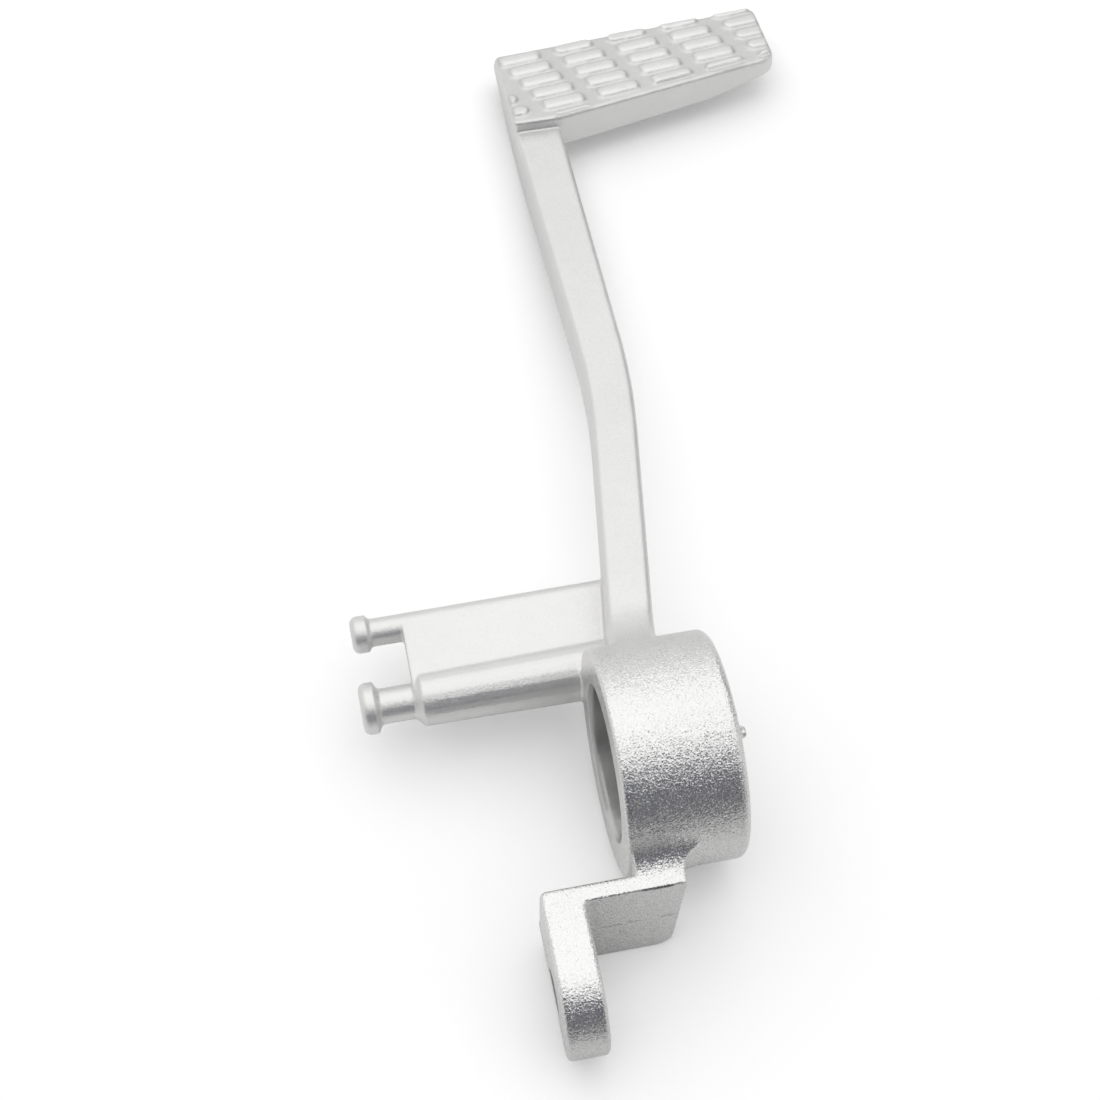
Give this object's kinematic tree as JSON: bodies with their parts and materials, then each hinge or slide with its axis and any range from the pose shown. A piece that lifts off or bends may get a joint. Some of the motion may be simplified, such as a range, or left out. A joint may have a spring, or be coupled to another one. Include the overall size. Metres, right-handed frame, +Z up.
{
  "type": "motorcycle rear brake pedal",
  "caption": "Cast brake pedal lever with a pivot hub, a ribbed foot pad, a bar with spring posts and a rear bracket with an eye for the brake rod.",
  "frame": {"origin": "middle of the pivot bore, on its axis, halfway along the hub", "axes": "+X forward along the lever to the foot pad, +Y inboard along the pivot bore, +Z up as the pedal lies on a flat surface"},
  "size_m": [0.2099, 0.1031, 0.036],
  "materials": {
    "cast_aluminium": "bead-blasted as-cast silver"
  },
  "bodies": {
    "root": {"pedal_casting": "cast_aluminium"}
  },
  "joints": []
}
